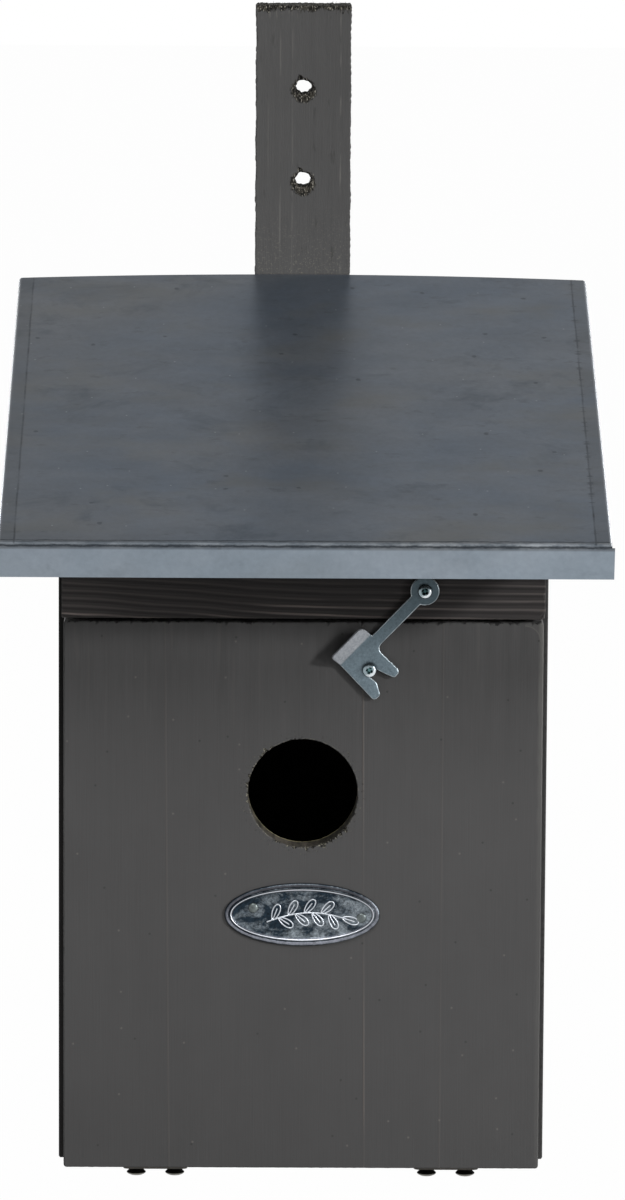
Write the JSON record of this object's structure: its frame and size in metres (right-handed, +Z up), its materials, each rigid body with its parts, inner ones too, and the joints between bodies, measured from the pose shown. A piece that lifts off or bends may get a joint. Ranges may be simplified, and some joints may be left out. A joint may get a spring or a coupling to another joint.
{
  "type": "tit nest box",
  "caption": "Small wooden nest box with a round entrance, bottom-hinged front door, hook latch, sloping metal-clad roof and a mounting batten on its back.",
  "frame": {"origin": "under the middle of the whole box, at the level of its lowest point, the hinge barrels", "axes": "+X to the right seen from the front, +Y towards the mounting batten at the back, +Z up"},
  "size_m": [0.179, 0.1942, 0.3391],
  "materials": {
    "stained_board": "matt dark grey stain with fine sawn grain",
    "rough_batten": "rough sawn, dark grey stain",
    "roof_zinc": "weathered blue-grey zinc, semi-gloss and mottled",
    "zinc_plate": "zinc-plated stamped steel, satin",
    "steel_hardware": "bright zinc-plated steel",
    "badge_metal": "antiqued dark grey with a bright raised rim"
  },
  "bodies": {
    "box": {"side_wall_left": "stained_board", "side_wall_right": "stained_board", "back_wall": "stained_board", "floor_board": "stained_board", "front_rail": "stained_board", "roof_board": "stained_board", "roof_sheet": "roof_zinc", "mounting_batten": "rough_batten", "latch_pivot_screw": "steel_hardware", "hinge_floor_leaf_left": "steel_hardware", "hinge_floor_leaf_right": "steel_hardware", "hinge_pin_left": "steel_hardware", "hinge_pin_right": "steel_hardware", "hinge_floor_screws": "steel_hardware", "back_wall_screws": "steel_hardware", "floor_screws": "steel_hardware", "roof_board_screws": "steel_hardware", "batten_screws": "steel_hardware"},
    "door": {"door_panel": "stained_board", "badge_plate": "badge_metal", "badge_pins": "steel_hardware", "hinge_door_leaf_left": "steel_hardware", "hinge_door_leaf_right": "steel_hardware", "hinge_door_screws": "steel_hardware", "latch_keeper_screw": "steel_hardware"},
    "latch": {"latch_hook": "zinc_plate"}
  },
  "joints": [
    {"name": "door_hinge", "type": "hinge", "parent": "box", "child": "door", "pos_m": [0, -0.047, 0.00155], "axis": [1, 0, 0], "range_deg": [0, 120]},
    {"name": "latch_pivot", "type": "hinge", "parent": "box", "child": "latch", "pos_m": [0.0356, -0.06015, 0.1777], "axis": [0, 1, 0], "range_deg": [0, 60]}
  ]
}
